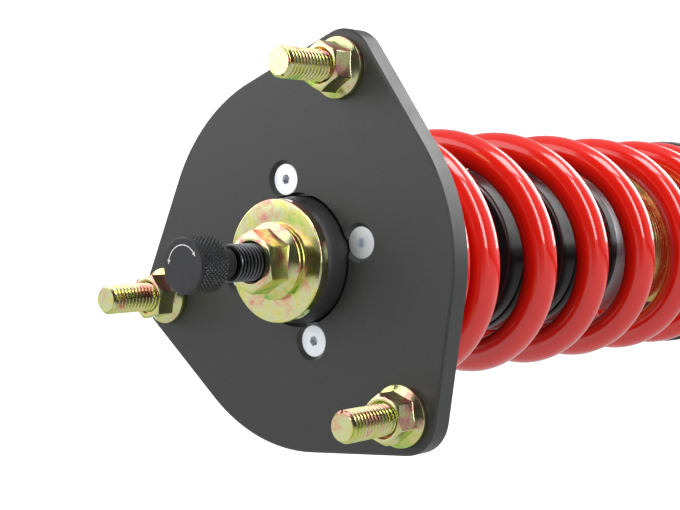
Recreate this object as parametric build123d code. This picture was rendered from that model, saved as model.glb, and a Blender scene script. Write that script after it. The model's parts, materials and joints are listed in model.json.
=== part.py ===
from build123d import *
from math import cos, pi, radians, sin
import os

# A coilover strut, millimetres. +Z runs up the damper's axis, and the origin is
# the centre of the top plate's upper face, which bolts up under the strut tower.

# Clearances
fixed_gap = 0.05        # round pieces that are pressed, bonded or screwed together
running_gap = 0.06      # rod, seals and pistons that slide on each other
thread_gap = 0.3        # collars that wind along the threaded damper tube
seat_gap = 0.1          # a spring's ground end and its pad
free_gap = 0.5          # pieces that turn or slide past each other untouched
lock_gap = 0.3          # a lock ring and the collar it jams against

# Top plate
plate_thickness = 8.0
plate_radius = 63.0
plate_chamfer = 0.7
ear_radius = 12.5
bush_opening_gap = 1.0

# Studs that stand in the ears, and their flange nuts
stud_pcd = 128.0
stud_angles = (60.0, 180.0, 300.0)
stud_radius = 5.0
stud_height = 28.5
stud_tip = 0.65
stud_core_radius = 4.6
stud_neck_radius = 5.3
stud_head_radius = 8.5
stud_head_thickness = 3.5
nut_across_flats = 14.0
nut_height = 10.3
nut_flange_radius = 9.85
nut_flange_edge = 2.2
nut_turns = (19.0, 1.0, 26.5)

# Countersunk screws that hold the bush housing
screw_offset = 3.0      # from the cup's wall to a screw's axis
screw_angles = (0.0, 90.0, 180.0, 270.0)
screw_radius = 2.5
screw_head_radius = 5.1
countersink_radius = 6.375
socket_across_flats = 3.0
socket_depth = 1.9

# Bush housing: a flange under the plate and a cup that holds the bush
housing_flange_thickness = 3.0
cup_radius = 24.0
cup_wall = 3.0
cup_floor_depth = 20.0
cup_floor_thickness = 3.0
cup_floor_bore = 15.0
cup_length = 23.0

# Rubber bush with its steel sleeve
bush_height = 7.0
bush_crown_inset = 1.8
sleeve_radius = 9.0

# Washers and the nut on the rod's top
top_washer_radius = 20.0
top_washer_thickness = 3.6
lower_washer_radius = 13.0
rod_nut_across_flats = 18.0
rod_nut_height = 11.4
rod_nut_flange_radius = 12.55
rod_nut_flange_edge = 2.0
rod_nut_turn = 16.0

# Piston rod
rod_radius = 10.0
rod_stem_radius = 6.0
rod_stem_height = 32.0
rod_tip = 0.8
rod_bore_radius = 3.0
rod_piston_shoulder = 203.0

# Damping adjuster
needle_radius = 2.6
needle_end = 228.0
knob_neck_radius = 5.0
knob_neck_length = 7.0
knob_radius = 8.75
knob_height = 11.4
knob_chamfer = 0.7
knob_bore_depth = 11.0
needle_headroom = 1.2
grub_radius = 1.5
grub_angle = 200.0

# Steering thrust bearing
race_thickness = 1.0
race_width = 9.5
roller_radius = 1.45
roller_length = 6.5
roller_inset = 5.1      # from the race's bore to the rollers' middles
roller_count = 24
roller_gap = 0.05
cage_thickness = 1.8
cage_radial_width = 8.4

# Spring seats
seat_margin = 0.6
seat_thickness = 3.2
pilot_wall = 1.3
pilot_length = 12.0
pad_thickness = 1.6
pad_margin = 0.6

# Coil spring, right-handed, ends closed and ground
wire_radius = 6.0
coil_radius = 39.4
active_turns = 5
active_pitch = 35.9
top_end_turns = 1.5
top_end_pitch = 15.0
bottom_end_turns = 1
bottom_end_pitch = 14.4
end_grind = 2.0

# Dust tube, which telescopes over the damper body
dust_tube_gap = 0.8
dust_tube_wall = 1.4
dust_tube_end = 155.0
dust_rib_height = 0.7
dust_rib_pitch = 17.9
dust_collar_wall = 1.5
dust_collar_length = 4.4
clamp_wall = 1.5
clamp_width = 3.0

# Bump stop
bump_stop_inset = 4.0
bump_stop_length = 43.0
bump_stop_tip_radius = 15.0
bump_groove_depth = 2.4
bump_groove_count = 3

# Damper body
tube_radius = 27.0
tube_wall = 3.0
gland_step = 1.0
gland_top = 148.0
gland_height = 36.0
gland_spigot_length = 12.0
wiper_radius = 16.0
wiper_height = 5.0
seal_radius = 17.0
seal_height = 7.0
gland_web = 2.0
tube_length = 246.0
cap_height = 12.0
cap_spigot_length = 8.0
fill_screw_radius = 4.0
fill_screw_length = 9.0

# Damper piston, from the rod's shoulder down
rebound_stop_radius = 16.0
rebound_stop_length = 6.5
shim_radii = (15.0, 13.5, 12.0, 10.5)
shim_thickness = 0.6
piston_height = 18.0
piston_inset = 0.7
band_width = 10.0
band_depth = 1.3
port_radius = 2.2
port_inset = 6.3
port_count = 6
piston_nut_across_flats = 19.0
piston_nut_height = 8.0
rod_end_margin = 2.0

# Floating piston over the gas
floating_piston_top = 340.0
floating_piston_height = 14.0
floating_cup_depth = 8.0
floating_cup_wall = 6.0
floating_seal_width = 3.0
floating_seal_depth = 2.2

# Lower spring perch and the lock rings
perch_flange_thickness = 6.0
collar_wall = 6.2
perch_hub_length = 11.4
lock_ring_height = 10.0
slot_count = 6
slot_width = 6.0
slot_depth = 2.6

# Lower bracket
bracket_top = 362.0
bracket_sleeve_wall = 4.7
bracket_sleeve_length = 86.0
knuckle_gap = 27.0
knuckle_plate_thickness = 5.0
knuckle_hole_radius = 7.1
knuckle_hole_reach = 52.0
knuckle_hole_spacing = 60.0
knuckle_upper_hole = 392.0
knuckle_boss_radius = 16.0
knuckle_plate_top = 371.0
knuckle_plate_bottom = 446.0
knuckle_root_inset = 8.0

# Radii worked out from the sizes above
cup_bore_radius = cup_radius - cup_wall
bush_opening_radius = cup_bore_radius + bush_opening_gap
bush_crown_radius = cup_bore_radius - bush_crown_inset
bump_stop_radius = cup_radius - bump_stop_inset
screw_circle = cup_radius + screw_offset
race_bore = cup_radius + free_gap
race_outer_radius = race_bore + race_width
housing_flange_radius = race_outer_radius
roller_circle = race_bore + roller_inset
pilot_radius = coil_radius - wire_radius - pad_margin
seat_radius = coil_radius + wire_radius + seat_margin
tube_bore = tube_radius - tube_wall
gland_radius = tube_radius + gland_step
dust_tube_bore = gland_radius + dust_tube_gap
dust_tube_radius = dust_tube_bore + dust_tube_wall
port_circle = tube_bore - port_inset
floating_cup_radius = tube_bore - floating_cup_wall
collar_bore = tube_radius + thread_gap
collar_radius = collar_bore + collar_wall
bracket_sleeve_radius = collar_bore + bracket_sleeve_wall
knuckle_plate_root = bracket_sleeve_radius - knuckle_root_inset

# Levels down the axis, worked out from the sizes above
plate_bottom = -plate_thickness
flange_bottom = plate_bottom - housing_flange_thickness
upper_race_bottom = flange_bottom - race_thickness
bearing_level = upper_race_bottom - roller_radius - roller_gap
lower_race_top = upper_race_bottom - 2 * (roller_radius + roller_gap)
seat_top = lower_race_top - race_thickness
seat_bottom = seat_top - seat_thickness
spring_top = seat_bottom - pad_thickness - seat_gap
wire_start = spring_top + end_grind - wire_radius
active_top = wire_start - top_end_turns * top_end_pitch
active_bottom = active_top - active_turns * active_pitch
wire_end = active_bottom - bottom_end_turns * bottom_end_pitch
spring_bottom = wire_end - wire_radius + end_grind
perch_pad_top = spring_bottom - seat_gap
perch_top = perch_pad_top - pad_thickness
perch_flange_bottom = perch_top - perch_flange_thickness
perch_bottom = perch_flange_bottom - perch_hub_length
cup_bottom = plate_bottom - cup_length
cup_floor_bottom = -cup_floor_depth - cup_floor_thickness
rod_shoulder = cup_floor_bottom
rod_nut_bottom = bush_height + top_washer_thickness
knob_neck_bottom = rod_stem_height + free_gap / 2
knob_bottom = knob_neck_bottom + knob_neck_length
knob_top = knob_bottom + knob_height
tube_top = -gland_top - gland_height
tube_bottom = tube_top - tube_length
shims_height = len(shim_radii) * shim_thickness
piston_top = -rod_piston_shoulder - shims_height
piston_bottom = piston_top - piston_height
piston_nut_top = piston_bottom - shims_height
rod_end = piston_nut_top - piston_nut_height - rod_end_margin
band_level = piston_top - piston_height / 2
knuckle_lower_hole = knuckle_upper_hole + knuckle_hole_spacing


def turned(*corners):
    """A solid of revolution about Z from its (radius, height) corners."""
    return revolve(Plane.XZ * Polygon(*corners, align=None), Axis.Z)


def ring(bore, radius, bottom, top, chamfer=0.0):
    """A plain ring, with its outer edges chamfered."""
    return turned(
        (bore, bottom),
        (radius - chamfer, bottom),
        (radius, bottom + chamfer),
        (radius, top - chamfer),
        (radius - chamfer, top),
        (bore, top),
    )


def hexagon(across_flats, bottom, top, turn=0.0):
    """A hexagonal prism; turn is the bearing of one corner, in degrees."""
    outline = RegularPolygon(across_flats / 2, 6, major_radius=False)
    prism = extrude(Plane.XY.offset(bottom) * outline, top - bottom)
    return Rot(0, 0, turn) * prism


def around(piece, radius, angles):
    """Copies of a piece made on the Z axis, moved out to a circle."""
    return [Pos(radius * cos(radians(a)), radius * sin(radians(a)), 0) * piece for a in angles]


def spaced(count):
    return [360.0 * n / count for n in range(count)]


def flange_nut(across_flats, height, flange_radius, flange_edge, bore, turn):
    """A hexagon nut on a coned flange, standing on Z = 0."""
    corner = across_flats / 2 / cos(pi / 6)
    bevel = corner - across_flats / 2
    crown = turned((0, 0), (corner, 0), (corner, height - bevel / 2), (across_flats / 2, height), (0, height))
    cone_top = flange_edge + 0.4 * (flange_radius - across_flats / 2)
    flange = turned(
        (0, 0),
        (flange_radius, 0),
        (flange_radius, flange_edge),
        (across_flats / 2, cone_top),
        (0, cone_top),
    )
    body = hexagon(across_flats, 0, height, turn) & crown
    return body + flange - Pos(0, 0, height / 2) * Cylinder(bore, height + 2)


def top_plate():
    outline = Circle(plate_radius) + around(Circle(ear_radius), stud_pcd / 2, stud_angles)
    plate = extrude(make_hull(outline.edges()), plate_bottom)
    rims = plate.faces().sort_by(Axis.Z)
    plate = chamfer(rims[-1].edges() + rims[0].edges(), plate_chamfer)
    plate -= Pos(0, 0, plate_bottom / 2) * Cylinder(bush_opening_radius, plate_thickness + 2)
    stud_hole = Pos(0, 0, plate_bottom / 2) * Cylinder(stud_neck_radius + fixed_gap, plate_thickness + 2)
    plate -= around(stud_hole, stud_pcd / 2, stud_angles)
    shank_radius = screw_radius + fixed_gap
    screw_hole = turned(
        (0, 1),
        (countersink_radius + 1, 1),
        (shank_radius, shank_radius - countersink_radius),
        (shank_radius, plate_bottom - 1),
        (0, plate_bottom - 1),
    )
    return plate - around(screw_hole, screw_circle, screw_angles)


def mount_studs():
    neck_top = nut_height + 0.2
    stud = turned(
        (0, plate_bottom - stud_head_thickness),
        (stud_head_radius, plate_bottom - stud_head_thickness),
        (stud_head_radius, plate_bottom),
        (stud_neck_radius, plate_bottom),
        (stud_neck_radius, 0),
        (stud_core_radius, 0),
        (stud_core_radius, neck_top),
        (stud_radius, neck_top),
        (stud_radius, stud_height - stud_tip),
        (stud_radius - stud_tip, stud_height),
        (0, stud_height),
    )
    return around(stud, stud_pcd / 2, stud_angles)


def mount_nuts():
    nuts = []
    for angle, turn in zip(stud_angles, nut_turns):
        nut = flange_nut(
            nut_across_flats,
            nut_height,
            nut_flange_radius,
            nut_flange_edge,
            stud_core_radius + fixed_gap,
            turn,
        )
        nuts += around(nut, stud_pcd / 2, [angle])
    return nuts


def housing_screws():
    head_top = screw_head_radius - countersink_radius
    head_bottom = screw_radius - countersink_radius
    screw = turned(
        (0, head_top),
        (screw_head_radius, head_top),
        (screw_radius, head_bottom),
        (screw_radius, flange_bottom + free_gap),
        (0, flange_bottom + free_gap),
    )
    screw -= hexagon(socket_across_flats, head_top - socket_depth, head_top + 1)
    return around(screw, screw_circle, screw_angles)


def bush_housing():
    housing = turned(
        (cup_bore_radius, plate_bottom),
        (housing_flange_radius, plate_bottom),
        (housing_flange_radius, flange_bottom),
        (cup_radius, flange_bottom),
        (cup_radius, cup_bottom),
        (bump_stop_radius + fixed_gap, cup_bottom),
        (bump_stop_radius + fixed_gap, cup_floor_bottom),
        (cup_floor_bore, cup_floor_bottom),
        (cup_floor_bore, -cup_floor_depth),
        (cup_bore_radius, -cup_floor_depth),
    )
    tapped_hole = Pos(0, 0, (plate_bottom + flange_bottom) / 2) * Cylinder(
        screw_radius + fixed_gap, housing_flange_thickness + 2
    )
    return housing - around(tapped_hole, screw_circle, screw_angles)


def rubber_bush():
    outer = cup_bore_radius - fixed_gap
    return turned(
        (sleeve_radius + fixed_gap, -cup_floor_depth),
        (outer, -cup_floor_depth),
        (outer, 0),
        (outer - 0.5, bush_height * 0.5),
        (bush_crown_radius + 0.5, bush_height * 0.85),
        (bush_crown_radius, bush_height),
        (sleeve_radius + fixed_gap, bush_height),
    )


def piston_rod():
    return turned(
        (rod_bore_radius, rod_end),
        (rod_stem_radius - rod_tip, rod_end),
        (rod_stem_radius, rod_end + rod_tip),
        (rod_stem_radius, -rod_piston_shoulder),
        (rod_radius, -rod_piston_shoulder),
        (rod_radius, rod_shoulder),
        (rod_stem_radius, rod_shoulder),
        (rod_stem_radius, rod_stem_height - rod_tip),
        (rod_stem_radius - rod_tip, rod_stem_height),
        (rod_bore_radius, rod_stem_height),
    )


def adjuster_knob():
    bore = rod_bore_radius
    bore_top = knob_neck_bottom + knob_bore_depth
    knob = turned(
        (bore, knob_neck_bottom),
        (knob_neck_radius, knob_neck_bottom),
        (knob_neck_radius, knob_bottom),
        (knob_radius - knob_chamfer, knob_bottom),
        (knob_radius, knob_bottom + knob_chamfer),
        (knob_radius, knob_top - knob_chamfer),
        (knob_radius - knob_chamfer, knob_top),
        (0, knob_top),
        (0, bore_top),
        (bore, bore_top),
    )
    return knob - grub_screw_space(grub_radius + fixed_gap, 0, knob_neck_radius + 1)


def grub_screw_space(radius, inner, outer):
    """A radial cylinder through the side of the knob's neck."""
    level = (knob_neck_bottom + knob_bottom) / 2
    bar = extrude(Plane.YZ.offset(inner) * Circle(radius), outer - inner)
    return Pos(0, 0, level) * Rot(0, 0, grub_angle) * bar


def knob_grub_screw():
    return grub_screw_space(grub_radius, rod_bore_radius + fixed_gap, knob_neck_radius)


def adjuster_needle():
    top = knob_neck_bottom + knob_bore_depth - needle_headroom
    return turned(
        (0, -needle_end - 2 * needle_radius),
        (needle_radius, -needle_end),
        (needle_radius, top),
        (0, top),
    )


def bearing_cage():
    inner = roller_circle - cage_radial_width / 2
    half = cage_thickness / 2
    cage = ring(inner, inner + cage_radial_width, bearing_level - half, bearing_level + half)
    pocket = Box(roller_length + 2 * roller_gap, 2 * (roller_radius + roller_gap), 2 * cage_thickness)
    for angle in spaced(roller_count):
        cage -= Rot(0, 0, angle) * Pos(roller_circle, 0, bearing_level) * pocket
    return cage


def bearing_rollers():
    roller = Rot(0, 90, 0) * Cylinder(roller_radius, roller_length)
    placed = Pos(roller_circle, 0, bearing_level) * roller
    return [Rot(0, 0, angle) * placed for angle in spaced(roller_count)]


def upper_spring_seat():
    return turned(
        (race_bore, seat_top),
        (seat_radius - 2, seat_top),
        (seat_radius, seat_top - 2),
        (seat_radius, seat_bottom),
        (pilot_radius, seat_bottom),
        (pilot_radius, seat_bottom - pilot_length + 1),
        (pilot_radius - 0.7, seat_bottom - pilot_length),
        (pilot_radius - pilot_wall, seat_bottom - pilot_length),
        (pilot_radius - pilot_wall, seat_bottom),
        (race_bore, seat_bottom),
    )


def spring_section(level, pitch, turns):
    """Some turns of the spring's wire, up from its lower end at the +X side."""
    path = Helix(pitch, turns * pitch, coil_radius, center=(0, 0, level))
    wire = Plane.XZ * Pos(coil_radius, level) * Circle(wire_radius)
    return sweep(wire, path, is_frenet=True)


def coil_spring():
    spring = spring_section(active_top, top_end_pitch, top_end_turns)
    spring += spring_section(active_bottom, active_pitch, active_turns)
    spring += spring_section(wire_end, bottom_end_pitch, bottom_end_turns)
    blank = 2 * (coil_radius + wire_radius) + 2
    spring -= Pos(0, 0, spring_top + wire_radius) * Box(blank, blank, 2 * wire_radius)
    spring -= Pos(0, 0, spring_bottom - wire_radius) * Box(blank, blank, 2 * wire_radius)
    return spring


def lower_spring_perch():
    perch = turned(
        (collar_bore, perch_bottom),
        (collar_radius - 0.8, perch_bottom),
        (collar_radius, perch_bottom + 0.8),
        (collar_radius, perch_flange_bottom),
        (seat_radius - 1, perch_flange_bottom),
        (seat_radius, perch_flange_bottom + 1),
        (seat_radius, perch_top),
        (pilot_radius, perch_top),
        (pilot_radius, perch_top + pilot_length - 1),
        (pilot_radius - 1, perch_top + pilot_length),
        (collar_bore, perch_top + pilot_length),
    )
    return perch - spanner_slots(perch_bottom, perch_flange_bottom)


def spanner_slots(bottom, top):
    """Slots round a collar's rim for a hook spanner."""
    slot = Box(2 * slot_depth, slot_width, top - bottom + 2)
    placed = Pos(collar_radius, 0, (bottom + top) / 2) * slot
    slots = [Rot(0, 0, angle) * placed for angle in spaced(slot_count)]
    if top == perch_flange_bottom:
        keep = Pos(0, 0, top + 5) * Cylinder(seat_radius + 5, 10)
        return [slot - keep for slot in slots]
    return slots


def lock_ring(top):
    bottom = top - lock_ring_height
    return ring(collar_bore, collar_radius, bottom, top, 0.8) - spanner_slots(bottom, top)


def dust_tube():
    collar_bore_radius = cup_radius + fixed_gap
    collar_radius_outer = collar_bore_radius + dust_collar_wall
    shoulder = cup_bottom - free_gap
    rib_count = int((shoulder - 4 + dust_tube_end) / dust_rib_pitch + 0.5)
    outline = [
        (collar_bore_radius, cup_bottom + dust_collar_length),
        (collar_bore_radius, shoulder),
        (dust_tube_bore, shoulder - 3),
        (dust_tube_bore, -dust_tube_end),
        (dust_tube_radius, -dust_tube_end),
    ]
    for n in range(rib_count):
        middle = -dust_tube_end + dust_rib_pitch * (n + 0.5)
        outline += [
            (dust_tube_radius, middle - 2),
            (dust_tube_radius + dust_rib_height, middle - 1),
            (dust_tube_radius + dust_rib_height, middle + 1),
            (dust_tube_radius, middle + 2),
        ]
    outline += [
        (dust_tube_radius, shoulder - 2),
        (collar_radius_outer, shoulder + 1),
        (collar_radius_outer, cup_bottom + dust_collar_length),
    ]
    return turned(*outline)


def dust_tube_clamp():
    bore = cup_radius + dust_collar_wall + 2 * fixed_gap
    middle = cup_bottom + dust_collar_length - clamp_width / 2 - fixed_gap
    return ring(bore, bore + clamp_wall, middle - clamp_width / 2, middle + clamp_width / 2, 0.4)


def bump_stop():
    bore = rod_radius + thread_gap
    bottom = cup_floor_bottom - bump_stop_length
    top_length = cup_floor_bottom - cup_bottom + 1
    step = (bump_stop_length - top_length) / (bump_groove_count + 1)
    outline = [(bore, bottom), (bore, cup_floor_bottom), (bump_stop_radius, cup_floor_bottom)]
    for n in range(bump_groove_count):
        level = cup_floor_bottom - top_length - step * n
        swell = bump_stop_radius - (bump_stop_radius - bump_stop_tip_radius) * n / bump_groove_count
        outline += [
            (swell, level - step * 0.35),
            (swell - bump_groove_depth, level - step * 0.65),
            (swell - bump_groove_depth, level - step * 0.8),
        ]
    outline += [(bump_stop_tip_radius, bottom + step), (bump_stop_tip_radius - 2, bottom)]
    return turned(*outline)


def gland_nut():
    bore = rod_radius + thread_gap
    web_top = -gland_top - wiper_height
    web_bottom = web_top - gland_web
    spigot = tube_bore - fixed_gap
    gland = turned(
        (bore, web_top),
        (wiper_radius + fixed_gap, web_top),
        (wiper_radius + fixed_gap, -gland_top),
        (gland_radius - 1.5, -gland_top),
        (gland_radius, -gland_top - 1.5),
        (gland_radius, tube_top),
        (spigot, tube_top),
        (spigot, tube_top - gland_spigot_length),
        (seal_radius + fixed_gap, tube_top - gland_spigot_length),
        (seal_radius + fixed_gap, web_bottom),
        (bore, web_bottom),
    )
    pin_hole = Pos(0, 0, -gland_top) * Cylinder(2, 8)
    return gland - around(pin_hole, (wiper_radius + gland_radius) / 2, spaced(4))


def damper_piston():
    radius = tube_bore - piston_inset
    groove = radius - band_depth
    piston = turned(
        (rod_stem_radius + fixed_gap, piston_bottom),
        (radius - 0.5, piston_bottom),
        (radius, piston_bottom + 0.5),
        (radius, band_level - band_width / 2),
        (groove, band_level - band_width / 2),
        (groove, band_level + band_width / 2),
        (radius, band_level + band_width / 2),
        (radius, piston_top - 0.5),
        (radius - 0.5, piston_top),
        (rod_stem_radius + fixed_gap, piston_top),
    )
    port = Pos(0, 0, band_level) * Cylinder(port_radius, piston_height + 2)
    return piston - around(port, port_circle, spaced(port_count))


def piston_band():
    groove = tube_bore - piston_inset - band_depth
    half = band_width / 2 - fixed_gap
    return ring(groove + fixed_gap, tube_bore - running_gap, band_level - half, band_level + half)


def piston_shims():
    """A tapered stack of thin discs over the piston and another under it."""
    shims = []
    for n, radius in enumerate(shim_radii):
        above = piston_top + n * shim_thickness
        below = piston_bottom - n * shim_thickness
        shims.append(ring(rod_stem_radius + fixed_gap, radius, above, above + shim_thickness))
        shims.append(ring(rod_stem_radius + fixed_gap, radius, below - shim_thickness, below))
    return shims


def piston_nut():
    nut = hexagon(piston_nut_across_flats, piston_nut_top - piston_nut_height, piston_nut_top)
    return nut - Pos(0, 0, piston_nut_top) * Cylinder(rod_stem_radius + fixed_gap, 4 * piston_nut_height)


def floating_piston():
    radius = tube_bore - running_gap
    top = -floating_piston_top
    bottom = top - floating_piston_height
    groove = radius - floating_seal_depth
    seal_level = (top + bottom) / 2
    return turned(
        (0, bottom + floating_piston_height - floating_cup_depth),
        (floating_cup_radius, bottom + floating_piston_height - floating_cup_depth),
        (floating_cup_radius, bottom),
        (radius - 0.5, bottom),
        (radius, bottom + 0.5),
        (radius, seal_level - floating_seal_width / 2),
        (groove, seal_level - floating_seal_width / 2),
        (groove, seal_level + floating_seal_width / 2),
        (radius, seal_level + floating_seal_width / 2),
        (radius, top - 0.5),
        (radius - 0.5, top),
        (0, top),
    )


def floating_piston_seal():
    groove = tube_bore - running_gap - floating_seal_depth
    seal_level = -floating_piston_top - floating_piston_height / 2
    half = floating_seal_width / 2 - fixed_gap
    return ring(groove + fixed_gap, tube_bore - running_gap, seal_level - half, seal_level + half, 0.4)


def base_cap():
    bottom = tube_bottom - cap_height
    spigot = tube_bore - fixed_gap
    cap = turned(
        (0, bottom),
        (tube_radius - 2, bottom),
        (tube_radius, bottom + 2),
        (tube_radius, tube_bottom),
        (spigot, tube_bottom),
        (spigot, tube_bottom + cap_spigot_length),
        (0, tube_bottom + cap_spigot_length),
    )
    return cap - Pos(0, 0, bottom) * Cylinder(fill_screw_radius + fixed_gap, 2 * fill_screw_length)


def gas_fill_screw():
    bottom = tube_bottom - cap_height
    screw = ring(0, fill_screw_radius, bottom, bottom + fill_screw_length - fixed_gap, 0.4)
    return screw - hexagon(4, bottom - 1, bottom + 4)


def knuckle_plates():
    """Two welded side plates that straddle the steering knuckle."""
    root_height = knuckle_plate_bottom - knuckle_plate_top
    root_level = -(knuckle_plate_top + knuckle_plate_bottom) / 2
    outline = Pos(knuckle_plate_root + 1, root_level) * Rectangle(2, root_height)
    holes = [(knuckle_hole_reach, -knuckle_upper_hole), (knuckle_hole_reach, -knuckle_lower_hole)]
    outline += [Pos(x, z) * Circle(knuckle_boss_radius) for x, z in holes]
    outline = make_hull(outline.edges()) - [Pos(x, z) * Circle(knuckle_hole_radius) for x, z in holes]
    plates = []
    for side in (-1, 1):
        inner = Plane.XZ.offset(side * knuckle_gap / 2)
        plate = extrude(inner * outline, side * knuckle_plate_thickness)
        sleeve_space = Cylinder(bracket_sleeve_radius + fixed_gap, 4 * bracket_sleeve_length)
        plates.append(plate - Pos(0, 0, -bracket_top) * sleeve_space)
    return plates


pieces = {
    "top_plate": top_plate(),
    "mount_studs": mount_studs(),
    "mount_nuts": mount_nuts(),
    "housing_screws": housing_screws(),
    "bush_housing": bush_housing(),
    "rubber_bush": rubber_bush(),
    "bush_sleeve": ring(rod_stem_radius + fixed_gap, sleeve_radius, -cup_floor_depth, bush_height),
    "top_washer": ring(rod_stem_radius + fixed_gap, top_washer_radius, bush_height, rod_nut_bottom, 0.6),
    "rod_nut": Pos(0, 0, rod_nut_bottom)
    * flange_nut(
        rod_nut_across_flats,
        rod_nut_height,
        rod_nut_flange_radius,
        rod_nut_flange_edge,
        rod_stem_radius + fixed_gap,
        rod_nut_turn,
    ),
    "lower_washer": ring(rod_stem_radius + fixed_gap, lower_washer_radius, rod_shoulder, -cup_floor_depth),
    "piston_rod": piston_rod(),
    "adjuster_knob": adjuster_knob(),
    "knob_grub_screw": knob_grub_screw(),
    "adjuster_needle": adjuster_needle(),
    "bearing_upper_race": ring(race_bore, race_outer_radius, upper_race_bottom, flange_bottom),
    "bearing_cage": bearing_cage(),
    "bearing_rollers": bearing_rollers(),
    "bearing_lower_race": ring(race_bore, race_outer_radius, seat_top, lower_race_top),
    "upper_spring_seat": upper_spring_seat(),
    "upper_spring_pad": ring(pilot_radius + fixed_gap, seat_radius - 0.5, spring_top + seat_gap, seat_bottom),
    "coil_spring": coil_spring(),
    "lower_spring_pad": ring(pilot_radius + fixed_gap, seat_radius - 0.5, perch_top, perch_pad_top),
    "lower_spring_perch": lower_spring_perch(),
    "perch_lock_ring": lock_ring(perch_bottom - lock_gap),
    "dust_tube": dust_tube(),
    "dust_tube_clamp": dust_tube_clamp(),
    "bump_stop": bump_stop(),
    "gland_nut": gland_nut(),
    "wiper_seal": ring(rod_radius + running_gap, wiper_radius, -gland_top - wiper_height, -gland_top),
    "oil_seal": ring(
        rod_radius + running_gap,
        seal_radius,
        -gland_top - wiper_height - gland_web - seal_height,
        -gland_top - wiper_height - gland_web,
    ),
    "rod_guide": ring(
        rod_radius + running_gap,
        seal_radius,
        tube_top - gland_spigot_length,
        -gland_top - wiper_height - gland_web - seal_height,
    ),
    "damper_tube": ring(tube_bore, tube_radius, tube_bottom, tube_top),
    "damper_piston": damper_piston(),
    "piston_band": piston_band(),
    "piston_shims": piston_shims(),
    "piston_nut": piston_nut(),
    "rebound_stop": ring(
        rod_radius + running_gap,
        rebound_stop_radius,
        -rod_piston_shoulder,
        -rod_piston_shoulder + rebound_stop_length,
        1,
    ),
    "floating_piston": floating_piston(),
    "floating_piston_seal": floating_piston_seal(),
    "base_cap": base_cap(),
    "gas_fill_screw": gas_fill_screw(),
    "bracket_lock_ring": lock_ring(-bracket_top + lock_gap + lock_ring_height),
    "bracket_sleeve": ring(
        collar_bore,
        bracket_sleeve_radius,
        -bracket_top - bracket_sleeve_length,
        -bracket_top,
        0.8,
    ),
    "knuckle_plates": knuckle_plates(),
}

os.makedirs("parts", exist_ok=True)
for name, piece in pieces.items():
    solids = piece if isinstance(piece, list) else [piece]
    bodies = [solid for part in solids for solid in part.solids()]
    export_step(Compound(children=bodies), f"parts/{name}.step")
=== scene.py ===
import json
import math

import bpy
import numpy as np
from mathutils import Matrix, Vector


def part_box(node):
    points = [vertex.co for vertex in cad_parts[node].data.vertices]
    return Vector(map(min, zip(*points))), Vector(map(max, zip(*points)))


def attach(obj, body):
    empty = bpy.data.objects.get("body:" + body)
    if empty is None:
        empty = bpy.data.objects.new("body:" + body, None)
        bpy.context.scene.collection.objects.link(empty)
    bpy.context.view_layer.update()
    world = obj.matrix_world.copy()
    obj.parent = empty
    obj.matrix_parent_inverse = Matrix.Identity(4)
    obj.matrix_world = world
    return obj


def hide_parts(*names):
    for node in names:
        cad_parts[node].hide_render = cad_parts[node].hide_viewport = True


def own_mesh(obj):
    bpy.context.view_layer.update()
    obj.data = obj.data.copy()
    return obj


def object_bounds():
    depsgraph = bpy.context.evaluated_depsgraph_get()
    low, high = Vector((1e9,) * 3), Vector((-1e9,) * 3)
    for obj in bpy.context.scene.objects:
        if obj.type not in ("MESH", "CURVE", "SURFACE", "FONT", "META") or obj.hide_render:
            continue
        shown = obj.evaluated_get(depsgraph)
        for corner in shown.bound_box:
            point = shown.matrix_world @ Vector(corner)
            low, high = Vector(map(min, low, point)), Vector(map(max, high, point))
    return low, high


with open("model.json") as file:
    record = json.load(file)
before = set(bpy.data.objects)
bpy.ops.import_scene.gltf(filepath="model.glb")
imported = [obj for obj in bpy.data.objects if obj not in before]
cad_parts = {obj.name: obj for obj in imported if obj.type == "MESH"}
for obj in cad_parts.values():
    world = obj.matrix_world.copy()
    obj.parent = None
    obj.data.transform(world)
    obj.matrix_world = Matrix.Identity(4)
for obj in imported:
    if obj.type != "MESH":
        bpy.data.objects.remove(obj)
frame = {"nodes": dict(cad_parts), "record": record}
cad_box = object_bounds()
nodes = frame["nodes"]

MM = 0.001
FINE = 144      # segments round a small or closely seen turned piece
COARSE = 192    # segments round a large turned piece

# Sizes in millimetres, as the CAD has them
stud_radius, stud_core, stud_pitch, stud_pcd = 5.0, 4.15, 1.5, 128.0
stud_angles = (60.0, 180.0, 300.0)
nut_turns = (19.0, 1.0, 26.5)
rod_stem_radius, rod_pitch, neck_length = 6.0, 1.5, 7.0
rod_thread_depth = 0.9
tube_radius, tube_pitch = 27.0, 2.0
coil_radius, wire_radius = 39.4, 6.0


def top_of(node):
    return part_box(node)[1].z / MM


def bottom_of(node):
    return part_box(node)[0].z / MM


# ---------------------------------------------------------------- materials

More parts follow.
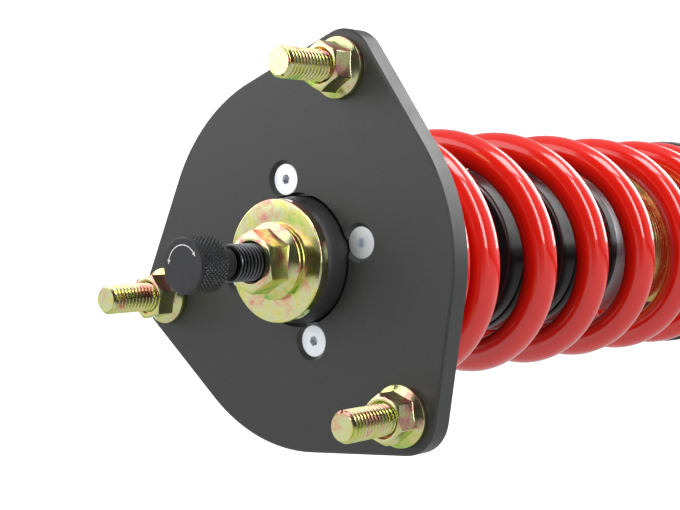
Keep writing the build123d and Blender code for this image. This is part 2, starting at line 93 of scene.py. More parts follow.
class Surface:
    """A Principled material with helpers for its procedural nodes."""

    def __init__(self, name, color, roughness, metallic=0.0, **sockets):
        self.material = bpy.data.materials.new(name)
        self.material.use_nodes = True
        self.tree = self.material.node_tree
        self.shader = self.tree.nodes["Principled BSDF"]
        self.shader.inputs["Base Color"].default_value = (*color, 1)
        self.shader.inputs["Roughness"].default_value = roughness
        self.shader.inputs["Metallic"].default_value = metallic
        for socket, value in sockets.items():
            self.shader.inputs[socket.replace("_", " ")].default_value = value
        self.coordinates = self.tree.nodes.new("ShaderNodeTexCoord").outputs["Object"]
        self.height = None

    def node(self, kind, **settings):
        node = self.tree.nodes.new(kind)
        for key, value in settings.items():
            setattr(node, key, value)
        return node

    def stretched(self, scale):
        mapping = self.node("ShaderNodeMapping")
        mapping.inputs["Scale"].default_value = scale
        self.tree.links.new(self.coordinates, mapping.inputs["Vector"])
        return mapping.outputs["Vector"]

    def noise(self, scale, detail=3.0, roughness=0.55, distortion=0.0, stretch=None):
        noise = self.node("ShaderNodeTexNoise")
        noise.inputs["Scale"].default_value = scale
        noise.inputs["Detail"].default_value = detail
        noise.inputs["Roughness"].default_value = roughness
        noise.inputs["Distortion"].default_value = distortion
        source = self.stretched(stretch) if stretch else self.coordinates
        self.tree.links.new(source, noise.inputs["Vector"])
        return noise.outputs["Fac"]

    def cells(self, scale):
        cells = self.node("ShaderNodeTexVoronoi")
        cells.inputs["Scale"].default_value = scale
        self.tree.links.new(self.coordinates, cells.inputs["Vector"])
        return cells.outputs["Distance"]

    def ramp(self, factor, stops):
        ramp = self.node("ShaderNodeValToRGB")
        elements = ramp.color_ramp.elements
        while len(elements) < len(stops):
            elements.new(0.5)
        for element, (position, color) in zip(elements, stops):
            element.position = position
            element.color = (*color, 1)
        self.tree.links.new(factor, ramp.inputs["Fac"])
        return ramp.outputs["Color"]

    def spread(self, factor, low, high):
        spread = self.node("ShaderNodeMapRange")
        spread.inputs["From Min"].default_value = 0.3
        spread.inputs["From Max"].default_value = 0.7
        spread.inputs["To Min"].default_value = low
        spread.inputs["To Max"].default_value = high
        self.tree.links.new(factor, spread.inputs["Value"])
        return spread.outputs["Result"]

    def facing(self, x, y, z):
        """How far the surface points along a fixed direction of the object, from -1 to 1."""
        product = self.node("ShaderNodeVectorMath", operation="DOT_PRODUCT")
        product.inputs[1].default_value = Vector((x, y, z)).normalized()
        normal = self.node("ShaderNodeTexCoord").outputs["Normal"]
        self.tree.links.new(normal, product.inputs[0])
        return product.outputs["Value"]

    def from_axis(self):
        """The distance from the object's Z axis, in metres."""
        flat = self.node("ShaderNodeVectorMath", operation="MULTIPLY")
        flat.inputs[1].default_value = (1, 1, 0)
        self.tree.links.new(self.coordinates, flat.inputs[0])
        length = self.node("ShaderNodeVectorMath", operation="LENGTH")
        self.tree.links.new(flat.outputs[0], length.inputs[0])
        return length.outputs["Value"]

    def weighed(self, first, first_weight, second, second_weight, start):
        """A value worked out from two others: start + first * weight + second * weight."""
        part = self.node("ShaderNodeMath", operation="MULTIPLY_ADD")
        part.inputs[1].default_value = first_weight
        part.inputs[2].default_value = start
        self.tree.links.new(first, part.inputs[0])
        total = self.node("ShaderNodeMath", operation="MULTIPLY_ADD")
        total.inputs[1].default_value = second_weight
        self.tree.links.new(second, total.inputs[0])
        self.tree.links.new(part.outputs[0], total.inputs[2])
        return total.outputs[0]

    def paint(self, factor, stops):
        self.tree.links.new(self.ramp(factor, stops), self.shader.inputs["Base Color"])
        return self

    def gloss(self, factor, low, high):
        self.tree.links.new(self.spread(factor, low, high), self.shader.inputs["Roughness"])
        return self

    def bump(self, factor, depth, strength=1.0):
        """Adds a relief of this depth in metres on top of any earlier one."""
        bump = self.node("ShaderNodeBump")
        bump.inputs["Distance"].default_value = depth
        bump.inputs["Strength"].default_value = strength
        self.tree.links.new(factor, bump.inputs["Height"])
        if self.height:
            self.tree.links.new(self.height, bump.inputs["Normal"])
        self.height = bump.outputs["Normal"]
        self.tree.links.new(self.height, self.shader.inputs["Normal"])
        return self


def shades(color, spread=0.15):
    """Two stops a little darker and lighter than a colour."""
    dark = tuple(c * (1 - spread) for c in color)
    light = tuple(min(1.0, c * (1 + spread)) for c in color)
    return [(0.3, dark), (0.7, light)]


def make_powder_coat():
    surface = Surface("satin_powder_coat", (0.032, 0.034, 0.033), 0.4, Specular_IOR_Level=0.55)
    surface.paint(surface.noise(900, 4), shades((0.032, 0.034, 0.033), 0.14))
    surface.gloss(surface.noise(160, 3), 0.36, 0.44)
    return surface.bump(surface.noise(1400, 2), 0.00005, 0.5).material


def make_yellow_zinc():
    """Chromate film on zinc: its tint drifts along the surface and with the way a face points."""
    surface = Surface("yellow_zinc", (0.9, 0.85, 0.5), 0.18, 1.0)
    drift = surface.noise(150, 4, 0.6, 0.4)
    film = surface.weighed(drift, 1.1, surface.facing(0.6, 0.7, 0.25), 0.24, -0.16)
    stops = [
        (0.08, (0.20, 0.50, 0.10)),
        (0.24, (0.50, 0.68, 0.18)),
        (0.36, (0.78, 0.72, 0.24)),
        (0.46, (0.70, 0.76, 0.42)),
        (0.56, (0.80, 0.58, 0.34)),
        (0.66, (0.76, 0.28, 0.30)),
        (0.78, (0.76, 0.54, 0.12)),
        (0.92, (0.32, 0.66, 0.20)),
    ]
    surface.paint(film, stops)
    surface.gloss(surface.noise(260, 3), 0.13, 0.24)
    return surface.bump(surface.noise(1500, 2), 0.00002, 0.35).material


def make_bright_zinc():
    surface = Surface("bright_zinc", (0.86, 0.9, 0.95), 0.42, 1.0)
    surface.paint(surface.noise(120, 2), shades((0.86, 0.90, 0.95), 0.05))
    surface.gloss(surface.noise(300, 2), 0.38, 0.46)
    return surface.bump(surface.noise(2500, 2), 0.00001, 0.3).material


def make_steel(name="turned_steel", color=(0.56, 0.57, 0.58)):
    surface = Surface(name, color, 0.32, 1.0)
    turning = surface.noise(60, 2, 0.5, 0.0, (1, 1, 60))
    surface.paint(surface.noise(200, 3), shades(color, 0.1))
    surface.gloss(turning, 0.24, 0.4)
    return surface.bump(turning, 0.00001, 0.4).material


def make_black_oxide(thread=None):
    """Dark oxide. With a thread's root and crest radius, in metres, its crest is painted lighter, as wear
    and as a painted highlight, and its root is painted near black as painted shade.
    """
    oxide = (0.07, 0.072, 0.08)
    surface = Surface("black_oxide", oxide, 0.3, 0.9)
    grain = surface.noise(600, 3)
    if thread:
        root, crest = thread
        scale = 1 / (crest - root)
        # Crest lighter for wear and a painted highlight; root near black as painted shade.
        wear_highlight_and_root_shade = surface.weighed(grain, 0.15, surface.from_axis(), scale, -root * scale)
        surface.paint(wear_highlight_and_root_shade, [(0.5, (0.010, 0.010, 0.012)), (1.0, (0.18, 0.19, 0.21))])
    else:
        surface.paint(grain, shades(oxide, 0.2))
    surface.gloss(surface.noise(400, 3), 0.26, 0.36)
    return surface.bump(surface.noise(2500, 2), 0.00001, 0.5).material


def make_knob_anodise():
    surface = Surface("knob_anodise", (0.028, 0.029, 0.032), 0.36, 0.2)
    surface.paint(surface.noise(500, 2), shades((0.028, 0.029, 0.032), 0.12))
    surface.gloss(surface.noise(350, 3), 0.32, 0.42)
    return surface.bump(surface.noise(2600, 2), 0.00002, 0.4).material


def make_rubber():
    surface = Surface("moulded_rubber", (0.02, 0.02, 0.02), 0.5)
    surface.paint(surface.noise(250, 4), shades((0.022, 0.022, 0.023), 0.25))
    surface.gloss(surface.noise(300, 4), 0.42, 0.6)
    return surface.bump(surface.noise(1200, 3), 0.00006, 0.5).material


def make_spring_coat():
    surface = Surface("spring_gloss_red", (0.78, 0.010, 0.003), 0.22, Coat_Weight=0.9, Coat_Roughness=0.05)
    surface.paint(surface.noise(60, 3), [(0.3, (0.76, 0.009, 0.002)), (0.7, (0.82, 0.012, 0.004))])
    surface.gloss(surface.noise(200, 3), 0.16, 0.26)
    return surface.bump(surface.noise(320, 1.5), 0.00012, 0.25).material


def make_dust_plastic():
    surface = Surface("dust_tube_plastic", (0.005, 0.005, 0.006), 0.2, Specular_IOR_Level=0.13)
    surface.paint(surface.noise(150, 3), shades((0.005, 0.005, 0.006), 0.2))
    surface.gloss(surface.noise(220, 3), 0.16, 0.26)
    return surface.bump(surface.noise(500, 2), 0.00003, 0.3).material


def make_gland_anodise():
    surface = Surface("gunmetal_anodise", (0.22, 0.23, 0.25), 0.28, 0.9)
    turning = surface.noise(80, 2, 0.5, 0.0, (1, 1, 40))
    surface.paint(surface.noise(160, 3), shades((0.21, 0.22, 0.24), 0.12))
    surface.gloss(turning, 0.22, 0.34)
    return surface.bump(turning, 0.00001, 0.4).material


def make_gold_anodise():
    surface = Surface("gold_anodise", (0.75, 0.55, 0.2), 0.25, 1.0)
    surface.paint(surface.noise(90, 3), [(0.3, (0.62, 0.44, 0.14)), (0.7, (0.72, 0.54, 0.22))])
    surface.gloss(surface.noise(300, 3), 0.18, 0.3)
    return surface.bump(surface.noise(1800, 2), 0.00001, 0.5).material


def make_chrome():
    surface = Surface("hard_chrome", (0.72, 0.73, 0.75), 0.08, 1.0)
    surface.paint(surface.noise(100, 2), shades((0.72, 0.73, 0.75), 0.05))
    surface.gloss(surface.noise(400, 3), 0.05, 0.12)
    return surface.material


def make_nylon():
    surface = Surface("nylon", (0.74, 0.71, 0.62), 0.4)
    surface.paint(surface.noise(200, 3), shades((0.74, 0.71, 0.62), 0.06))
    surface.gloss(surface.noise(300, 3), 0.35, 0.5)
    return surface.bump(surface.noise(900, 3), 0.00003, 0.4).material


def make_bronze_ptfe():
    surface = Surface("bronze_ptfe", (0.22, 0.13, 0.07), 0.5)
    surface.paint(surface.noise(2500, 3), shades((0.22, 0.13, 0.07), 0.3))
    surface.gloss(surface.noise(300, 3), 0.42, 0.58)
    return surface.material


def make_foam():
    surface = Surface("cellular_urethane", (0.72, 0.55, 0.18), 0.75)
    cells = surface.cells(1600)
    surface.paint(surface.noise(400, 4), shades((0.72, 0.55, 0.18), 0.15))
    return surface.bump(cells, 0.00025, 0.6).material


def make_white_ink():
    surface = Surface("white_ink", (0.85, 0.85, 0.85), 0.5)
    surface.paint(surface.noise(900, 3), shades((0.84, 0.84, 0.84), 0.04))
    return surface.material


finish = {
    "plate_coat": make_powder_coat(),
    "yellow_zinc": make_yellow_zinc(),
    "bright_zinc": make_bright_zinc(),
    "rubber": make_rubber(),
    "black_oxide": make_black_oxide(),
    "knob_anodise": make_knob_anodise(),
    "chrome_rod": make_chrome(),
    "steel": make_steel(),
    "spring_coat": make_spring_coat(),
    "gold_anodise": make_gold_anodise(),
    "grey_anodise": make_gland_anodise(),
    "dust_plastic": make_dust_plastic(),
    "nylon": make_nylon(),
    "ptfe": make_bronze_ptfe(),
    "foam": make_foam(),
}
white_ink = make_white_ink()


def dress_cad_nodes():
    """Every CAD node takes the finish of its own material slot."""
    for subpart in frame["record"]["subparts"]:
        mesh = nodes[subpart["node"]].data
        mesh.materials.clear()
        mesh.materials.append(finish[subpart["material_slot"]])


# ------------------------------------------------------------------- meshes

def make_piece(name, vertices, faces, slot, body, stands_for=(), sharp=32.0, material=None):
    """A mesh piece, given in millimetres, that rides on a body and may stand for CAD nodes."""
    mesh = bpy.data.meshes.new(name)
    mesh.from_pydata([tuple(c * MM for c in v) for v in vertices], [], faces)
    mesh.validate()
    mesh.update()
    mesh.shade_smooth()
    mesh.set_sharp_from_angle(angle=math.radians(sharp))
    mesh.materials.append(material or finish[slot])
    piece = bpy.data.objects.new(name, mesh)
    bpy.context.scene.collection.objects.link(piece)
    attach(piece, body)
    if stands_for:
        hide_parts(*stands_for)
    return piece


def skin(rings, close_rings=False, flip=False):
    """Vertices and faces of a closed tube through rings of points; ends are capped unless it closes."""
    rings = np.asarray(rings, float)
    count, around = rings.shape[:2]
    vertices = rings.reshape(-1, 3).tolist()
    faces = []
    for i in range(count if close_rings else count - 1):
        low, high = i * around, (i + 1) % count * around
        for j in range(around):
            k = (j + 1) % around
            faces.append((low + j, low + k, high + k, high + j))
    if not close_rings:
        faces.append(tuple(range(around))[::-1])
        faces.append(tuple((count - 1) * around + j for j in range(around)))
    if flip:
        faces = [face[::-1] for face in faces]
    return vertices, faces


def rounded(corners, radius, steps=4, closed=True):
    """A polygon with each corner turned into a short curve."""
    points = [Vector(c) for c in corners]
    count = len(points)
    curve = []
    for i, corner in enumerate(points):
        if not closed and i in (0, count - 1):
            curve.append(tuple(corner))
            continue
        before = points[i - 1] - corner
        after = points[(i + 1) % count] - corner
        reach = min(radius, before.length * 0.45, after.length * 0.45)
        start = corner + before.normalized() * reach
        end = corner + after.normalized() * reach
        for step in range(steps + 1):
            t = step / steps
            curve.append(tuple(start * (1 - t) ** 2 + corner * 2 * t * (1 - t) + end * t ** 2))
    return curve


def lathe(profile, segments=FINE):
    """Rings of a ring-shaped solid turned from its closed (radius, height) section."""
    angles = np.linspace(0, 2 * np.pi, segments, endpoint=False)
    rings = []
    for a in angles:
        rings.append([(r * math.cos(a), r * math.sin(a), z) for r, z in profile])
    return skin(rings, close_rings=True, flip=True)


def moved(mesh, x=0.0, y=0.0, z=0.0):
    vertices, faces = mesh
    return [(vx + x, vy + y, vz + z) for vx, vy, vz in vertices], faces


def joined(meshes):
    """Several meshes as one list of vertices and faces."""
    vertices, faces = [], []
    for more_vertices, more_faces in meshes:
        start = len(vertices)
        vertices += more_vertices
        faces += [tuple(start + v for v in face) for face in more_faces]
    return vertices, faces


def welded(vertices, faces):
    """The same surface with its coinciding points made one and its empty faces left out."""
    places, merged, kept = {}, [], []
    for vertex in vertices:
        key = tuple(round(c, 4) for c in vertex)
        merged.append(places.setdefault(key, len(places)))
    for face in faces:
        corners = [merged[v] for v in face]
        corners = [v for i, v in enumerate(corners) if v != corners[i - 1]]
        if len(set(corners)) == len(corners) > 2:
            kept.append(tuple(corners))
    return list(places), kept


def threaded(
    radius, pitch, depth, bottom, top, chamfer,
    segments=72, turn=0.0, bore=0.0, crest=0.16, root=0.2,
):
    """A right-handed thread whose mesh follows its helix, with chamfered ends, solid or with a bore."""
    flank = (1 - crest - root) / 2
    corners = [(0, 0), (crest, 0), (crest + flank, depth), (1 - flank, depth)]
    angles = np.linspace(0, 2 * np.pi, segments, endpoint=False)
    rings = []

    def add_ring(r, z):
        rings.append(np.stack([r * np.cos(angles + turn), r * np.sin(angles + turn), z], 1))

    for lap in range(-1, math.ceil((top - bottom) / pitch) + 1):
        for phase, cut in corners:
            z = np.clip(bottom + pitch * (lap + phase + angles / (2 * np.pi)), bottom, top)
            end_limit = radius - chamfer + np.minimum(top - z, z - bottom)
            add_ring(np.minimum(radius - cut, end_limit), z)
    last = len(rings) - 1
    faces = []
    for i in range(last):
        low, high = i * segments, (i + 1) * segments
        for j in range(segments - 1):
            faces.append((low + j, low + j + 1, high + j + 1, high + j))
        low_next = min(i + len(corners), last) * segments
        high_next = min(i + 1 + len(corners), last) * segments
        faces.append((low + segments - 1, low_next, high_next, high + segments - 1))
    if bore:
        for z in (top, bottom):
            add_ring(np.full(segments, bore), np.full(segments, z))
        for i, k in ((last, last + 1), (last + 1, last + 2), (last + 2, 0)):
            for j in range(segments):
                following = (j + 1) % segments
                faces.append((
                    i * segments + j,
                    i * segments + following,
                    k * segments + following,
                    k * segments + j,
                ))
    else:
        faces.append(tuple(range(segments))[::-1])
        faces.append(tuple(last * segments + j for j in range(segments)))
    return welded(np.concatenate(rings).tolist(), faces)


def hex_outline(across_flats, turn, corner_radius=0.25, steps=3, flat_points=12):
    """Angles and radii round a hexagon with small rounded corners; turn is one corner's bearing."""
    reach = across_flats / 2 / math.cos(math.pi / 6)
    corners = [
        (reach * math.cos(math.radians(turn + 60 * n)), reach * math.sin(math.radians(turn + 60 * n)))
        for n in range(6)
    ]
    corner_points = rounded([(x, y, 0) for x, y in corners], corner_radius, steps)
    points = []
    for n in range(6):
        arc = corner_points[n * (steps + 1):(n + 1) * (steps + 1)]
        after = corner_points[(n + 1) * (steps + 1) % len(corner_points)]
        points += [p[:2] for p in arc]
        for k in range(1, flat_points):
            t = k / flat_points
            points.append((arc[-1][0] * (1 - t) + after[0] * t, arc[-1][1] * (1 - t) + after[1] * t))
    points = np.array(points)
    return np.arctan2(points[:, 1], points[:, 0]), np.hypot(points[:, 0], points[:, 1])


def flange_nut(across_flats, height, flange_radius, flange_edge, bore, turn):
    """A hexagon flange nut with a chamfered crown, a coned flange and a countersunk bore."""
    angles, wall = hex_outline(across_flats, turn)
    crown_radius = across_flats / 2 - 0.25
    crown_slope, cone_slope, blend = 0.58, 0.4, 0.3
    crown_edge = height - (wall - crown_radius) * crown_slope
    cone_foot = flange_edge + cone_slope * (flange_radius - wall)
    sections = [
        (bore + 0.5, 0.0),
        (flange_radius - 0.4, 0.0),
        (flange_radius - 0.1, 0.1),
        (flange_radius, 0.4),
        (flange_radius, flange_edge - 0.4),
        (flange_radius - 0.1, flange_edge - 0.1),
        (flange_radius - 0.4, flange_edge + 0.1),
        (wall + blend, cone_foot - blend * cone_slope),
        (wall + blend * 0.25, cone_foot + blend * 0.25),
        (wall, cone_foot + blend),
        (wall, crown_edge),
        (wall * 0.5 + crown_radius * 0.5, crown_edge * 0.5 + height * 0.5),
        (crown_radius, height),
        (bore + 0.9, height),
        (bore, height - 0.8),
        (bore, 0.6),
    ]
    rings = []
    for radius, level in sections:
        r = np.broadcast_to(radius, angles.shape)
        z = np.broadcast_to(level, angles.shape)
        rings.append(np.stack([r * np.cos(angles), r * np.sin(angles), z], 1))
    return skin(rings, close_rings=True)


# ------------------------------------------------------------------- pieces

def at_stud(mesh, angle):
    x = stud_pcd / 2 * math.cos(math.radians(angle))
    y = stud_pcd / 2 * math.sin(math.radians(angle))
    return moved(mesh, x, y)


def build_studs():
    """Each stud has a head under the plate, a plain neck through it and a threaded shank above it."""
    top, bottom = top_of("mount_studs"), bottom_of("mount_studs")
    plate_bottom = bottom_of("top_plate")
    head_radius, neck_radius, axis, gap = 8.5, 5.25, 0.01, 0.05
    head_top, neck_top = plate_bottom - gap, -gap
    head_section = [(axis, bottom), (head_radius, bottom), (head_radius, head_top), (axis, head_top)]
    neck_section = [
        (axis, plate_bottom),
        (neck_radius, plate_bottom),
        (neck_radius, neck_top),
        (axis, neck_top),
    ]
    head, neck = lathe(rounded(head_section, 0.8)), lathe(neck_section)
    depth = stud_radius - stud_core
    studs = []
    for angle in stud_angles:
        shank = threaded(stud_radius, stud_pitch, depth, 0, top, depth, turn=math.radians(angle))
        studs += [at_stud(mesh, angle) for mesh in (head, neck, shank)]
    make_piece(
        "mount_studs_threaded", *joined(studs), "yellow_zinc", "top_mount", ["mount_studs"], sharp=35,
    )


def build_nuts():
    thread_gap = 0.02
    mount_height = top_of("mount_nuts")
    mount_flats, mount_flange_radius, mount_flange_edge = 14.0, 9.85, 2.2
    nuts = []
    for angle, turn in zip(stud_angles, nut_turns):
        bore = stud_radius + thread_gap
        nut = flange_nut(mount_flats, mount_height, mount_flange_radius, mount_flange_edge, bore, turn)
        nuts.append(at_stud(nut, angle))
    make_piece("mount_nuts_flanged", *joined(nuts), "yellow_zinc", "top_mount", ["mount_nuts"])
    bottom, top = bottom_of("rod_nut"), top_of("rod_nut")
    rod_flats, rod_flange_radius, rod_flange_edge, rod_nut_turn = 18.0, 12.55, 2.0, 16.0
    bore = rod_stem_radius + thread_gap
    nut = flange_nut(rod_flats, top - bottom, rod_flange_radius, rod_flange_edge, bore, rod_nut_turn)
    make_piece("rod_nut_flanged", *moved(nut, z=bottom), "yellow_zinc", "top_mount", ["rod_nut"])


def build_bush():
    """The rubber bush swells a little below its crown, and the plated washer lies on it."""
    bottom, top = bottom_of("rubber_bush"), top_of("rubber_bush")
    bore, foot_radius, crown_radius = 9.1, 20.9, 19.0
    foot = [(bore, bottom), (foot_radius, bottom), (foot_radius, 0.2)]
    shoulder = [(20.5, 3.2), (19.9, 5.6), (crown_radius, top), (bore, top)]
    bush = lathe(rounded(foot + shoulder, 1.2), COARSE)
    make_piece("rubber_bush_moulded", *bush, "rubber", "top_mount", ["rubber_bush"])
    low, high = bottom_of("top_washer"), top_of("top_washer")
    washer_bore, washer_radius = 6.1, 20.0
    section = [(washer_bore, low), (washer_radius, low), (washer_radius, high), (washer_bore, high)]
    washer = lathe(rounded(section, 0.55), COARSE)
    make_piece("top_washer_plated", *washer, "yellow_zinc", "top_mount", ["top_washer"])


def build_rod():
    """The rod's black threaded top, its plain shank in the bush, and its chromed length below."""
    bottom, top = bottom_of("piston_rod"), top_of("piston_rod")
    shoulder, piston_shoulder, thread_start = -23.0, -203.0, 10.0
    core, shank_radius, end_radius, rod_radius = 3.0, 5.9, 6.0, 10.0
    stem = threaded(rod_stem_radius, rod_pitch, rod_thread_depth, thread_start, top, rod_thread_depth)
    shank_section = [
        (core, shoulder),
        (shank_radius, shoulder),
        (shank_radius, thread_start),
        (core, thread_start),
    ]
    rod_section = [
        (core, bottom),
        (end_radius, bottom),
        (end_radius, piston_shoulder),
        (rod_radius, piston_shoulder),
        (rod_radius, shoulder),
        (core, shoulder),
    ]
    black_top = joined([stem, lathe(rounded(shank_section, 0.1))])
    # The stem's oxide has a painted highlight with wear on its thread crests and painted shade in its
    # roots.
    coat = make_black_oxide(((rod_stem_radius - rod_thread_depth) * MM, rod_stem_radius * MM))
    make_piece("rod_stem_threaded", *black_top, "black_oxide", "top_mount", sharp=35, material=coat)
    rod = lathe(rounded(rod_section, 0.4))
    make_piece("rod_chromed", *rod, "chrome_rod", "top_mount", ["piston_rod"])


def build_knob():
    """A plain neck, a barrel with a diamond knurl, and a flat face with a thin rim."""
    bottom, top = bottom_of("adjuster_knob"), top_of("adjuster_knob")
    face_radius, neck_radius, neck_chamfer, barrel_bottom = 8.75, 5.0, 0.4, bottom + neck_length
    segments, diamonds = 288, 40
    knurl_low, knurl_high, knurl_rings = barrel_bottom + 0.8, top - 1.5, 60
    knurl_depth, knurl_lead, crest_sharpness = 0.42, 64.0, 1.9
    angles = np.linspace(0, 2 * np.pi, segments, endpoint=False)
    rings = []

    def ring(radius, z):
        r = np.broadcast_to(radius, (segments,))
        rings.append(np.stack([r * np.cos(angles), r * np.sin(angles), np.full(segments, z)], 1))

    neck = [
        (neck_radius - neck_chamfer, bottom),
        (neck_radius, bottom + neck_chamfer),
        (neck_radius, barrel_bottom),
        (face_radius - 0.7, barrel_bottom),
    ]
    for r, z in rounded(neck, 0.25, 3, False):
        ring(r, z)
    ring(face_radius - 0.15, barrel_bottom + 0.5)
    for z in np.linspace(knurl_low, knurl_high, knurl_rings):
        lead = (z - knurl_low) * 2 * np.pi / knurl_lead
        one = np.abs(np.sin((angles + lead) * diamonds / 2))
        two = np.abs(np.sin((angles - lead) * diamonds / 2))
        relief = np.minimum(one, two)
        ring(face_radius - knurl_depth * (1 - np.clip(relief * crest_sharpness, 0, 1)), z)
    rim = [
        (face_radius - 0.35, top - 1.35),
        (face_radius - 0.35, top - 1.2),
        (face_radius - 0.05, top - 1.0),
        (face_radius - 0.05, top - 0.4),
        (face_radius - 0.45, top - 0.04),
        (face_radius - 0.55, top - 0.02),
        (face_radius - 0.9, top - 0.02),
    ]
    for r, z in rim:
        ring(r, z)
    make_piece("adjuster_knob_knurled", *skin(rings), "knob_anodise", "knob", ["adjuster_knob"], sharp=25)
    make_piece("knob_turn_arrow", *turn_arrow(top), "knob_anodise", "knob", material=white_ink)


def turn_arrow(level):
    """A thin printed arc with an arrowhead at each end, over the +Y side of the knob's face."""
    arc_radius, half_width, head_width, head_angle = 6.2, 0.17, 0.62, 0.24
    start, end = math.radians(28), math.radians(152)

    def at(radius, angle):
        return (radius * math.cos(angle), radius * math.sin(angle), level)

    steps = np.linspace(start, end, 41)
    line = [at(arc_radius - half_width, a) for a in steps] + [at(arc_radius + half_width, a) for a in steps]
    count = len(steps)
    meshes = [(line, [(i, count + i, count + i + 1, i + 1) for i in range(count - 1)])]
    for angle, away in ((start, -1), (end, 1)):
        head = [
            at(arc_radius - head_width, angle),
            at(arc_radius + head_width, angle),
            at(arc_radius, angle + away * head_angle),
        ]
        meshes.append((head, [(0, 1, 2) if away > 0 else (1, 0, 2)]))
    return joined(meshes)


def build_spring():
    """The wire follows a helix whose pitch closes up over the last turn at each end."""
    top, bottom = top_of("coil_spring"), bottom_of("coil_spring")
    grind, closed_pitch = 2.0, 12.15
    total_turns, top_turns = 7.5, 1.5
    top_ease, top_ease_length, bottom_ease, bottom_ease_length = 0.9, 0.9, 0.65, 0.55
    per_turn, around = 96, 28
    turns = np.linspace(0, total_turns, int(total_turns * per_turn) + 1)

    def eased(distance, length):
        t = np.clip(distance / length, 0, 1)
        return t ** 2 * (3 - 2 * t)

    opening = eased(turns - top_ease, top_ease_length)
    opening *= eased(total_turns - turns - bottom_ease, bottom_ease_length)
    drop = top - bottom + 2 * grind - 2 * wire_radius
    opened = np.concatenate([[0], np.cumsum((opening[1:] + opening[:-1]) / 2 / per_turn)])
    open_pitch = (drop - closed_pitch * (total_turns - opened[-1])) / opened[-1]
    level = top + grind - wire_radius - closed_pitch * (turns - opened) - open_pitch * opened
    angle = 2 * np.pi * (top_turns - turns)
    centre = np.stack([coil_radius * np.cos(angle), coil_radius * np.sin(angle), level], 1)
    along = np.gradient(centre, axis=0)
    along /= np.linalg.norm(along, axis=1)[:, None]
    outward = np.stack([np.cos(angle), np.sin(angle), np.zeros_like(angle)], 1)
    upward = np.cross(along, outward)
    section = np.linspace(0, 2 * np.pi, around, endpoint=False)
    rings = []
    for c, o, u in zip(centre, outward, upward):
        points = c + wire_radius * (np.cos(section)[:, None] * o + np.sin(section)[:, None] * u)
        points[:, 2] = np.clip(points[:, 2], bottom, top)
        rings.append(points)
    spring = make_piece(
        "coil_spring_coated", *skin(rings), "spring_coat", "upper_seat", ["coil_spring"], sharp=40,
    )
    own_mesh(spring)


def build_dust_tube():
    """A thin black tube with shallow rounded ribs under a narrower collar."""
    top, bottom = top_of("dust_tube"), bottom_of("dust_tube")
    collar_bore, collar_radius, shoulder = 24.05, 25.6, -31.5
    bore, radius = 28.8, 30.2
    rib_pitch, rib_height, rib_roundness, outline_levels = 17.9, 0.7, 0.6, 420
    outline = [(collar_bore, top), (collar_bore, shoulder), (bore, shoulder - 3), (bore, bottom)]
    outline += [(radius, bottom), (radius, bottom + 0.01)]
    for z in np.linspace(bottom + 0.4, shoulder - 2, outline_levels):
        phase = ((z - bottom) / rib_pitch) % 1.0
        swell = rib_height * max(0.0, math.cos((phase - 0.5) * 2 * math.pi)) ** rib_roundness
        outline.append((radius + swell, z))
    outline += [(collar_radius, shoulder + 1), (collar_radius, top)]
    tube = lathe(outline, COARSE)
    make_piece("dust_tube_ribbed", *tube, "dust_plastic", "top_mount", ["dust_tube"], sharp=50)


def build_damper_tube():
    top, bottom = top_of("damper_tube"), bottom_of("damper_tube")
    depth, chamfer, bore = 0.75, 1.0, 24.0
    tube = threaded(
        tube_radius, tube_pitch, depth, bottom, top, chamfer,
        FINE, bore=bore, crest=0.2, root=0.25,
    )
    make_piece("damper_tube_threaded", *tube, "gold_anodise", "damper_body", ["damper_tube"], sharp=40)


def build_gland():
    """The gland nut's rim over the tube's end; the rest of the nut is inside the tube."""
    top, bottom = top_of("gland_nut"), top_of("damper_tube")
    bore, radius = 16.05, 28.0
    rim = lathe(rounded([(bore, top), (radius, top), (radius, bottom), (bore, bottom)], 1.0), COARSE)
    make_piece("gland_rim", *rim, "grey_anodise", "damper_body", ["gland_nut"])


# ------------------------------------------------------------- camera, light

view_right = Vector((0.7381, -0.1720, -0.6524)).normalized()
view_back = Vector((0.6444, -0.1070, 0.7572)).normalized()
view_up = view_back.cross(view_right).normalized()
view_right = view_up.cross(view_back).normalized()


def from_camera(right, up, back):
    """A direction given in the camera's own axes."""
    return view_right * right + view_up * up + view_back * back


def add_camera():
    data = bpy.data.cameras.new("camera")
    data.sensor_width = 36.0
    data.lens = 73.25
    data.clip_end = 30
    camera = bpy.data.objects.new("camera", data)
    axes = Matrix((view_right, view_up, view_back)).transposed()
    camera.matrix_world = Matrix.Translation((0.3017, -0.0492, 0.3328)) @ axes.to_4x4()
    bpy.context.scene.collection.objects.link(camera)
    bpy.context.scene.camera = camera


def add_panel(name, azimuth, elevation, distance, width, height, radiance):
    """A softbox that faces the strut's upper half; angles are seen from the strut, about the camera."""
    target = Vector((0, 0, -0.08))
    azimuth, elevation = math.radians(azimuth), math.radians(elevation)
    back = from_camera(
        math.sin(azimuth) * math.cos(elevation),
        math.sin(elevation),
        math.cos(azimuth) * math.cos(elevation),
    )
    data = bpy.data.lights.new(name, "AREA")
    data.shape = "RECTANGLE"
    data.size, data.size_y = width, height
    data.energy = radiance * math.pi * width * height
    light = bpy.data.objects.new(name, data)
    right = view_up.cross(back).normalized()
    up = back.cross(right)
    axes = Matrix((right, up, back)).transposed()
    light.matrix_world = Matrix.Translation(target + back * distance) @ axes.to_4x4()
    light.visible_camera = False
    bpy.context.scene.collection.objects.link(light)


def add_lights():
    add_panel(
        "right_softbox", azimuth=125, elevation=27, distance=1.4, width=1.05, height=1.2, radiance=4.2,
    )
    add_panel(
        "left_softbox", azimuth=-84, elevation=30, distance=0.9, width=1.3, height=0.8, radiance=1.5,
    )
    add_panel(
        "top_softbox", azimuth=38, elevation=62, distance=1.4, width=0.8, height=0.5, radiance=7,
    )
    add_panel(
        "front_strip", azimuth=30, elevation=21, distance=1.4, width=0.3, height=1.3, radiance=8,
    )


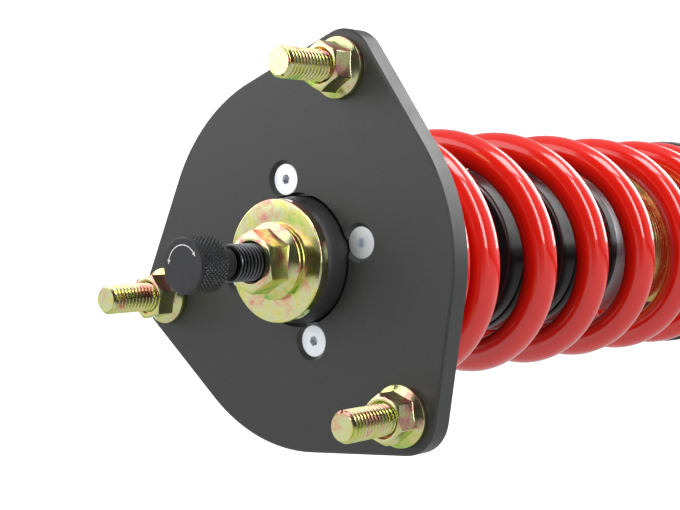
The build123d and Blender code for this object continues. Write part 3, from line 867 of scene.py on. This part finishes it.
def add_world():
    """A pale room: dark behind the camera and in a gap along the horizon, and bright at the left."""
    world = bpy.data.worlds.new("studio")
    world.use_nodes = True
    bpy.context.scene.world = world
    tree = world.node_tree
    direction = tree.nodes.new("ShaderNodeTexCoord").outputs["Generated"]
    ends = ("From Min", "From Max", "To Min", "To Max")

    def along(axis, low, high, low_level, high_level):
        product = tree.nodes.new("ShaderNodeVectorMath")
        product.operation = "DOT_PRODUCT"
        product.inputs[1].default_value = axis
        tree.links.new(direction, product.inputs[0])
        level = tree.nodes.new("ShaderNodeMapRange")
        for socket, value in zip(ends, (low, high, low_level, high_level)):
            level.inputs[socket].default_value = value
        tree.links.new(product.outputs["Value"], level.inputs["Value"])
        return level.outputs["Result"]

    def combine(operation, first, second):
        node = tree.nodes.new("ShaderNodeMath")
        node.operation = operation
        tree.links.new(first, node.inputs[0])
        tree.links.new(second, node.inputs[1])
        return node.outputs[0]

    room = along(view_back, 0.25, 0.65, 0.85, 0.1)
    above_gap = along(view_up, -0.07, -0.05, 0.0, 0.5)
    below_gap = along(view_up, -0.16, -0.14, 0.65, 0.0)
    away_from_camera = along(view_back, 0.84, 0.97, 1.0, 0.15)
    left_side = along(view_right, -0.85, -0.5, 0.8, 0.0)
    table = combine("MULTIPLY", below_gap, away_from_camera)
    lit = combine("ADD", table, combine("MULTIPLY", room, above_gap))
    lit = combine("MAXIMUM", lit, left_side)
    path = tree.nodes.new("ShaderNodeLightPath")
    strength = combine("MAXIMUM", lit, path.outputs["Is Camera Ray"])
    tree.nodes["Background"].inputs["Color"].default_value = (1, 1, 1, 1)
    tree.links.new(strength, tree.nodes["Background"].inputs["Strength"])


def add_floor():
    """A pale floor under the hanging strut that still catches its shadow."""
    size, clearance = 5.0, 0.025
    level = cad_box[0][2] - clearance
    mesh = bpy.data.meshes.new("floor")
    corners = [(-size, -size, level), (size, -size, level), (size, size, level), (-size, size, level)]
    mesh.from_pydata(corners, [], [(0, 1, 2, 3)])
    surface = Surface("floor_paper", (0.9, 0.9, 0.9), 0.8)
    surface.paint(surface.noise(3, 2), [(0.3, (0.88, 0.88, 0.88)), (0.7, (0.91, 0.91, 0.91))])
    tree = surface.tree
    glow = surface.node("ShaderNodeEmission")
    glow.inputs["Strength"].default_value = 0.55
    path = surface.node("ShaderNodeLightPath")
    total = surface.node("ShaderNodeAddShader")
    choose = surface.node("ShaderNodeMixShader")
    output = tree.nodes["Material Output"]
    tree.links.new(surface.shader.outputs[0], total.inputs[0])
    tree.links.new(glow.outputs[0], total.inputs[1])
    tree.links.new(path.outputs["Is Camera Ray"], choose.inputs["Fac"])
    tree.links.new(surface.shader.outputs[0], choose.inputs[1])
    tree.links.new(total.outputs[0], choose.inputs[2])
    tree.links.new(choose.outputs[0], output.inputs["Surface"])
    mesh.materials.append(surface.material)
    floor = bpy.data.objects.new("floor", mesh)
    floor.visible_diffuse = floor.visible_glossy = False
    floor.visible_transmission = floor.visible_shadow = False
    bpy.context.scene.collection.objects.link(floor)


dress_cad_nodes()
build_studs()
build_nuts()
build_bush()
build_rod()
build_knob()
build_spring()
build_dust_tube()
build_damper_tube()
build_gland()
add_camera()
add_lights()
add_world()
add_floor()
bpy.context.scene.view_settings.view_transform = "Standard"
